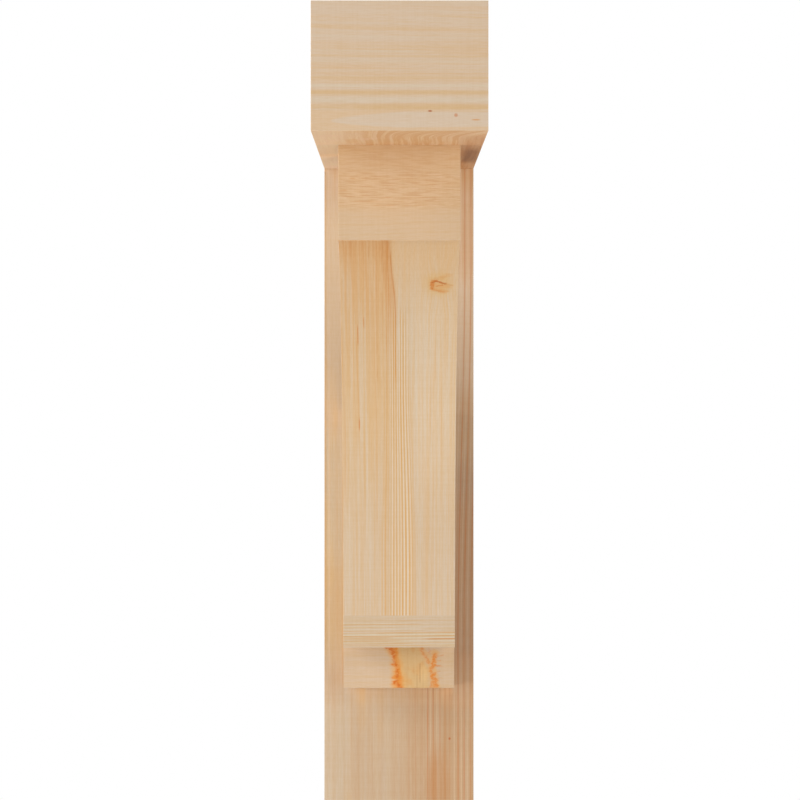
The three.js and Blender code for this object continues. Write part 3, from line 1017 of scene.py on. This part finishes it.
def brace_outline(tree, size):
    """The brace's side outline, as a closed curve: x runs out from the post, y up to the beam.

    size looks up one of the tree's sizes by its name.
    """
    nodes, links = tree.nodes, tree.links
    count = size("Arch Points")
    gap, head, foot = size("Joint Gap"), size("Head Reach"), size("Foot Depth")
    arch_foot = point(tree, foot, size("Arch Stop") - size("Foot Drop"))
    arch_head = point(tree, head - size("Arch Stop"), 0.0 - size("Head Height"))

    # Centre of the arch: off the middle of its chord, square to it
    chord = vector(tree, "SUBTRACT", arch_head, arch_foot)[0]
    half = Value(tree, vector(tree, "LENGTH", chord)["Value"]) * 0.5
    radius = size("Arch Radius")
    off = (radius * radius - half * half).calc("SQRT")
    square = turned(tree, vector(tree, "NORMALIZE", chord)[0], -math.pi / 2)
    middle = vector(tree, "SCALE", vector(tree, "ADD", arch_foot, arch_head)[0], scale=0.5)[0]
    centre = vector(tree, "ADD", middle, vector(tree, "SCALE", square, scale=off)[0])[0]

    # The outline's corners before the arch's points, and after them
    before = (
        point(tree, size("Back Reach"), 0.0 - gap),
        point(tree, gap, 0.0 - size("Back Drop")),
        point(tree, gap, 0.0 - size("Foot Drop")),
        point(tree, foot, 0.0 - size("Foot Drop")),
    )
    after = (
        point(tree, head, 0.0 - size("Head Height")),
        point(tree, head, 0.0 - gap),
    )
    first = float(len(before))

    # A point of the arch, by its place in the outline
    index = Value(tree, nodes.new("GeometryNodeInputIndex").outputs[0])
    step = ((index - first) / (count - 1.0)).calc("MINIMUM", 1.0).calc("MAXIMUM", 0.0)
    sweep = (half / radius).calc("ARCSINE") * -2.0
    on_arch = turned(tree, arch_foot, step * sweep, centre)

    corners = (*before, on_arch, *after)
    pick = nodes.new("GeometryNodeIndexSwitch")
    pick.data_type = "VECTOR"
    while len(pick.index_switch_items) < len(corners):
        pick.index_switch_items.new()
    past_arch = (index - (count + (first - 1.0))).calc("MAXIMUM", 0.0)
    plug(tree, pick.inputs[0], index.calc("MINIMUM", first) + past_arch)
    for slot, corner in zip(list(pick.inputs)[1:], corners):
        links.new(corner, slot)

    line = nodes.new("GeometryNodeMeshLine")
    plug(tree, line.inputs["Count"], count + (first + len(after)))
    placed = nodes.new("GeometryNodeSetPosition")
    links.new(line.outputs[0], placed.inputs["Geometry"])
    links.new(pick.outputs[0], placed.inputs["Position"])
    curve = nodes.new("GeometryNodeMeshToCurve")
    links.new(placed.outputs[0], curve.inputs[0])
    closed = nodes.new("GeometryNodeSetSplineCyclic")
    closed.inputs["Cyclic"].default_value = True
    links.new(curve.outputs[0], closed.inputs[0])
    return closed.outputs[0]


def stand_up(tree, size, solid):
    """Puts the outline's solid in its place, from the post's face and the beam's underside."""
    split = tree.nodes.new("ShaderNodeSeparateXYZ")
    tree.links.new(tree.nodes.new("GeometryNodeInputPosition").outputs[0], split.inputs[0])
    out, up, across = (Value(tree, socket) for socket in split.outputs)
    stood = tree.nodes.new("GeometryNodeSetPosition")
    tree.links.new(solid, stood.inputs["Geometry"])
    tree.links.new(point(tree, size("Width") * 0.5 - across, size("Post Face") - out,
                         size("Underside") + up), stood.inputs["Position"])
    return stood.outputs[0]


def brace_tree():
    """Draws the brace's side outline, fills it and gives it its width."""
    tree = bpy.data.node_groups.new("Arched brace", "GeometryNodeTree")
    interface = tree.interface
    for name in ("Head Reach", "Head Height", "Foot Depth", "Foot Drop", "Arch Radius",
                 "Arch Stop", "Back Reach", "Back Drop", "Joint Gap", "Width", "Post Face",
                 "Underside"):
        interface.new_socket(name, in_out="INPUT", socket_type="NodeSocketFloat")
    interface.new_socket("Arch Points", in_out="INPUT", socket_type="NodeSocketInt")
    interface.new_socket("Finish", in_out="INPUT", socket_type="NodeSocketMaterial")
    interface.new_socket("Geometry", in_out="OUTPUT", socket_type="NodeSocketGeometry")
    nodes, links = tree.nodes, tree.links
    given = nodes.new("NodeGroupInput").outputs

    def size(name):
        return Value(tree, given[name])

    fill = nodes.new("GeometryNodeFillCurve")
    fill.mode = "NGONS"
    links.new(brace_outline(tree, size), fill.inputs[0])

    # Run the outline across the brace's width and close the side that it starts from
    widen = nodes.new("GeometryNodeExtrudeMesh")
    widen.mode = "FACES"
    widen.inputs["Individual"].default_value = False
    links.new(fill.outputs[0], widen.inputs["Mesh"])
    links.new(point(tree, 0.0, 0.0, 1.0), widen.inputs["Offset"])
    links.new(given["Width"], widen.inputs["Offset Scale"])
    base = nodes.new("GeometryNodeFlipFaces")
    links.new(fill.outputs[0], base.inputs[0])
    joined = nodes.new("GeometryNodeJoinGeometry")
    links.new(base.outputs[0], joined.inputs[0])
    links.new(widen.outputs["Mesh"], joined.inputs[0])
    merged = nodes.new("GeometryNodeMergeByDistance")
    merged.inputs["Distance"].default_value = SAME_POINT
    links.new(joined.outputs[0], merged.inputs["Geometry"])

    real = nodes.new("GeometryNodeRealizeInstances")
    links.new(stand_up(tree, size, merged.outputs[0]), real.inputs[0])
    finish = nodes.new("GeometryNodeSetMaterial")
    links.new(real.outputs[0], finish.inputs["Geometry"])
    links.new(given["Finish"], finish.inputs["Material"])
    links.new(finish.outputs[0], nodes.new("NodeGroupOutput").inputs[0])
    return tree


def draw_brace(finish):
    """The bare brace, as a plain mesh."""
    size = sizes()
    tree = brace_tree()
    values = {
        "Head Reach": size.head_reach, "Head Height": size.head_height,
        "Foot Depth": size.foot_depth, "Foot Drop": size.foot_drop,
        "Arch Radius": size.arch_radius, "Arch Stop": size.arch_stop,
        "Back Reach": size.back_reach, "Back Drop": size.back_drop,
        "Joint Gap": size.joint_gap, "Width": BRACE_HIGH.x - BRACE_LOW.x,
        "Post Face": POST_FACE, "Underside": UNDERSIDE,
        "Arch Points": size.arch_points, "Finish": finish,
    }
    piece = bpy.data.objects.new("brace_timber", bpy.data.meshes.new("brace_timber"))
    bpy.context.scene.collection.objects.link(piece)
    modifier = piece.modifiers.new("brace", "NODES")
    modifier.node_group = tree
    for item in tree.interface.items_tree:
        if item.in_out == "INPUT":
            modifier[item.identifier] = values[item.name]
    return flatten(piece)


def arch_ends():
    """Centre of the arch, its foot and its head: (out from the post, below the beam) each."""
    size = sizes()
    foot = Vector((size.foot_depth, size.foot_drop - size.arch_stop))
    head = Vector((size.head_reach - size.arch_stop, size.head_height))
    chord = head - foot
    off = math.sqrt(size.arch_radius ** 2 - (chord.length / 2) ** 2)
    square = Vector((-chord.y, chord.x)).normalized()
    return (foot + head) / 2 + square * off, foot, head


# ---------------------------------------------------------------------------
# Operators
# ---------------------------------------------------------------------------


class BRACKET_OT_beam(Operator):
    """Make the beam that lies over the post"""

    bl_idname = "bracket.beam"
    bl_label = "Beam"

    def execute(self, context):
        tones = colours()
        piece = square_timber("beam_timber", BEAM_LOW, BEAM_HIGH)
        front = planed("beam_end", 1, beam_end)
        under = planed("beam_underside", 2, beam_underside)
        side = planed("beam_side", 3, plain_face(tones.beam_pale, tones.beam_warm, 0.0052))
        top = planed("beam_top", 4, plain_face(tones.beam_pale, tones.beam_warm, 0.0046,
                                               arch=(0.01, 1.4, 0.035)))
        back = planed("beam_wall_end", 5, end_grain(tones.beam_pale, tones.beam_warm,
                                                    (0.03, -0.35)))
        lay_grain(piece, {
            "front": (front, lambda p: (p.z - UNDERSIDE, p.x)),
            "bottom": (under, lambda p: (p.x, -p.y)),
            "left": (side, lambda p: (p.z - UNDERSIDE, -p.y)),
            "right": (side, lambda p: (p.z - UNDERSIDE, -p.y + 2.3)),
            "top": (top, lambda p: (p.x, -p.y)),
            "back": (back, lambda p: (p.x, p.z - UNDERSIDE)),
        })
        hand_over(piece, "top_beam")
        return {"FINISHED"}


class BRACKET_OT_post(Operator):
    """Make the post against the wall"""

    bl_idname = "bracket.post"
    bl_label = "Post"

    def execute(self, context):
        tones = colours()
        piece = square_timber("post_timber", POST_LOW, up_to(POST_HIGH, UNDERSIDE))
        front = planed("post_face", 6, post_face)
        side = planed("post_side", 7, plain_face(tones.post_pale, tones.post_warm, 0.0040,
                                                 knots=((0.052, 0.53, 0.008),)))
        end = planed("post_end", 8, end_grain(tones.post_pale, tones.post_warm, (0.22, 0.10)))
        lay_grain(piece, {
            "front": (front, lambda p: (p.x, UNDERSIDE - p.z)),
            "left": (side, lambda p: (p.y - POST_FACE, UNDERSIDE - p.z)),
            "right": (side, lambda p: (0.012 - p.y, 3.1 - p.z)),
            "back": (side, lambda p: (p.x + 0.4, 1.7 - p.z)),
            "top": (end, lambda p: (p.x, p.y)),
            "bottom": (end, lambda p: (p.x, p.y)),
        })
        hand_over(piece, "wall_post")
        return {"FINISHED"}


class BRACKET_OT_brace(Operator):
    """Make the arched brace across the corner"""

    bl_idname = "bracket.brace"
    bl_label = "Arched brace"

    def execute(self, context):
        size, tones = sizes(), colours()
        arch = planed("brace_arch", 9, brace_arch)
        head = planed("brace_head", 10, brace_head)
        foot = planed("brace_foot", 11, brace_foot)
        side = planed("brace_side", 12, plain_face(tones.flank_pale, tones.flank_warm, 0.0038,
                                                   knots=((0.085, 0.205, 0.007),)))
        piece = ease_arrises(draw_brace(arch), [(1, POST_FACE - size.joint_gap),
                                                (2, UNDERSIDE - size.joint_gap)])
        centre, arch_foot, arch_head = arch_ends()
        head_angle = math.atan2(arch_head.y - centre.y, arch_head.x - centre.x)

        def place(p):
            return Vector((POST_FACE - p.y, UNDERSIDE - p.z))

        def side_of_brace(polygon):
            if abs(polygon.normal.x) > 0.75:
                return "left" if polygon.normal.x < 0 else "right"
            spot = place(polygon.center)
            looks_out = polygon.normal.y < -DIAGONAL
            if spot.x > arch_head.x - CORNER_SLACK and spot.y > arch_head.y - CORNER_SLACK:
                return "head_soffit"
            if looks_out and spot.x > size.head_reach - FACE_SLACK:
                return "head"
            if abs((spot - centre).length - size.arch_radius) < FACE_SLACK \
                    and arch_head.y - CORNER_SLACK < spot.y < arch_foot.y:
                return "arch"
            if looks_out and spot.y >= arch_foot.y:
                return "foot"
            return side_of(polygon)

        def down_the_arch(p):
            spot = place(p) - centre
            turn = (head_angle - math.atan2(spot.y, spot.x)) % math.tau
            turn = turn if turn < math.pi else turn - math.tau
            return (p.x, turn * size.arch_radius)

        def diagonal(p, start=0.0):
            spot = place(p)
            return ((spot.x + spot.y - size.back_reach) * DIAGONAL,
                    (spot.y - spot.x) * DIAGONAL + start)

        lay_grain(piece, {
            "arch": (arch, down_the_arch),
            "head_soffit": (arch, lambda p: (p.x, arch_head.x - place(p).x)),
            "head": (head, lambda p: (place(p).y, p.x)),
            "foot": (foot, lambda p: (size.foot_drop - place(p).y, p.x)),
            "left": (side, diagonal),
            "right": (side, lambda p: diagonal(p, 2.0)),
            "front": (foot, lambda p: (size.foot_drop - place(p).y, p.x)),
            "back": (side, lambda p: (p.x + 0.3, (place(p).y - place(p).x) * DIAGONAL)),
            "top": (side, lambda p: (p.x + 0.5, place(p).x)),
            "bottom": (foot, lambda p: (place(p).x + 0.2, p.x)),
        }, side_of_brace)
        hand_over(piece, "arched_brace")
        return {"FINISHED"}


class BRACKET_OT_block(Operator):
    """Make the block under the brace's foot"""

    bl_idname = "bracket.block"
    bl_label = "Foot block"

    def execute(self, context):
        tones = colours()
        piece = square_timber("block_timber", BLOCK_LOW, up_to(BLOCK_HIGH, BRACE_LOW.z))
        front = planed("block_front", 13, block_front)
        side = planed("block_side", 14, end_grain(tones.block_pale, tones.block_warm,
                                                  (0.02, -0.12)))
        flat = planed("block_flat", 15, plain_face(tones.block_pale, tones.block_warm, 0.0036))
        lay_grain(piece, {
            "front": (front, lambda p: (p.z - BLOCK_LOW.z, p.x)),
            "left": (side, lambda p: (p.y - POST_FACE, p.z - BLOCK_LOW.z)),
            "right": (side, lambda p: (p.y - POST_FACE, p.z - BLOCK_LOW.z)),
            "bottom": (flat, lambda p: (p.y, p.x)),
            "top": (flat, lambda p: (p.y, p.x)),
            "back": (flat, lambda p: (p.z, p.x)),
        })
        hand_over(piece, "foot_block")
        return {"FINISHED"}


def soft_light(name, place, size, watts, spread):
    """A square lamp that looks at the bracket and stays out of the camera's sight."""
    light = bpy.data.lights.new(name, "AREA")
    light.shape = "SQUARE"
    light.size = size
    light.energy = watts
    light.spread = math.radians(spread)
    lamp = bpy.data.objects.new(name, light)
    bpy.context.scene.collection.objects.link(lamp)
    lamp.location = place
    lamp.visible_camera = False
    aim = LAMPS_AIM_AT - Vector(place)
    lamp.rotation_euler = aim.to_track_quat("-Z", "Y").to_euler()


def lay_floor(stage):
    """A plain pale floor that glows a little, well below the bracket."""
    level = CAD_BOX[0][2] - stage.floor_drop
    wide = FLOOR_HALF_WIDTH
    corners = [(-wide, FLOOR_FRONT, level), (wide, FLOOR_FRONT, level),
               (wide, FLOOR_BACK, level), (-wide, FLOOR_BACK, level)]
    mesh = bpy.data.meshes.new("studio_floor")
    mesh.from_pydata(corners, [], [(0, 1, 2, 3)])
    floor = bpy.data.objects.new("studio_floor", mesh)
    bpy.context.scene.collection.objects.link(floor)
    paint = bpy.data.materials.new("floor_paint")
    paint.use_nodes = True
    shader = paint.node_tree.nodes["Principled BSDF"]
    shader.inputs["Base Color"].default_value = (*stage.floor, 1.0)
    shader.inputs["Roughness"].default_value = 0.8
    shader.inputs["Emission Color"].default_value = (*stage.floor, 1.0)
    shader.inputs["Emission Strength"].default_value = stage.floor_glow
    mesh.materials.append(paint)


def light_world(stage):
    """White behind the bracket as the camera sees it, a weaker even light round it."""
    world = bpy.data.worlds.new("studio")
    world.use_nodes = True
    bpy.context.scene.world = world
    tree = world.node_tree
    even = tree.nodes["Background"]
    even.inputs["Color"].default_value = AMBIENT_TINT
    even.inputs["Strength"].default_value = stage.ambient
    white = tree.nodes.new("ShaderNodeBackground")
    white.inputs["Color"].default_value = WHITE
    white.inputs["Strength"].default_value = 1.0
    path = tree.nodes.new("ShaderNodeLightPath")
    choose = tree.nodes.new("ShaderNodeMixShader")
    tree.links.new(path.outputs["Is Camera Ray"], choose.inputs[0])
    tree.links.new(even.outputs[0], choose.inputs[1])
    tree.links.new(white.outputs[0], choose.inputs[2])
    tree.links.new(choose.outputs[0], tree.nodes["World Output"].inputs["Surface"])


def set_camera(stage):
    """The photo's view: square on from the front, from far away."""
    camera = bpy.data.cameras.new("camera")
    camera.sensor_width = SENSOR_WIDTH
    camera.lens = stage.camera_lens
    camera.shift_x, camera.shift_y = CAMERA_SHIFT
    camera.clip_end = 100.0
    rig = bpy.data.objects.new("camera", camera)
    bpy.context.scene.collection.objects.link(rig)
    rig.location = (CAMERA_SIDE, -stage.camera_away, stage.camera_height)
    rig.rotation_euler = (math.radians(90), 0.0, 0.0)
    bpy.context.scene.camera = rig


class BRACKET_OT_stage(Operator):
    """Set out the floor, the lights and the camera"""

    bl_idname = "bracket.stage"
    bl_label = "Floor, lights and camera"

    def execute(self, context):
        stage = context.scene.bracket_stage
        lay_floor(stage)
        light_world(stage)
        for name, place, size, spread in LAMPS:
            soft_light(name + "_light", place, size, getattr(stage, name), spread)
        set_camera(stage)
        context.scene.view_settings.view_transform = "Standard"
        return {"FINISHED"}


class BRACKET_PT_panel(Panel):
    """The bracket's pieces and settings"""

    bl_idname = "BRACKET_PT_panel"
    bl_label = "Block bracket"
    bl_space_type = "VIEW_3D"
    bl_region_type = "UI"
    bl_category = "Bracket"

    def draw(self, context):
        column = self.layout.column(align=True)
        for maker in MAKERS:
            column.operator(maker.bl_idname)
        for group in (context.scene.bracket_sizes, context.scene.bracket_colours,
                      context.scene.bracket_stage):
            box = self.layout.box()
            for name in type(group).__annotations__:
                box.prop(group, name)


MAKERS = (BRACKET_OT_beam, BRACKET_OT_post, BRACKET_OT_brace, BRACKET_OT_block,
          BRACKET_OT_stage)
CLASSES = (BracketSizes, BracketColours, BracketStage) + MAKERS + (BRACKET_PT_panel,)


def register():
    for each in CLASSES:
        bpy.utils.register_class(each)
    bpy.types.Scene.bracket_sizes = PointerProperty(type=BracketSizes)
    bpy.types.Scene.bracket_colours = PointerProperty(type=BracketColours)
    bpy.types.Scene.bracket_stage = PointerProperty(type=BracketStage)


def unregister():
    del bpy.types.Scene.bracket_stage
    del bpy.types.Scene.bracket_colours
    del bpy.types.Scene.bracket_sizes
    for each in reversed(CLASSES):
        bpy.utils.unregister_class(each)


def main():
    register()
    bpy.ops.bracket.beam()
    bpy.ops.bracket.post()
    bpy.ops.bracket.brace()
    bpy.ops.bracket.block()
    bpy.ops.bracket.stage()


if __name__ == "__main__":
    main()
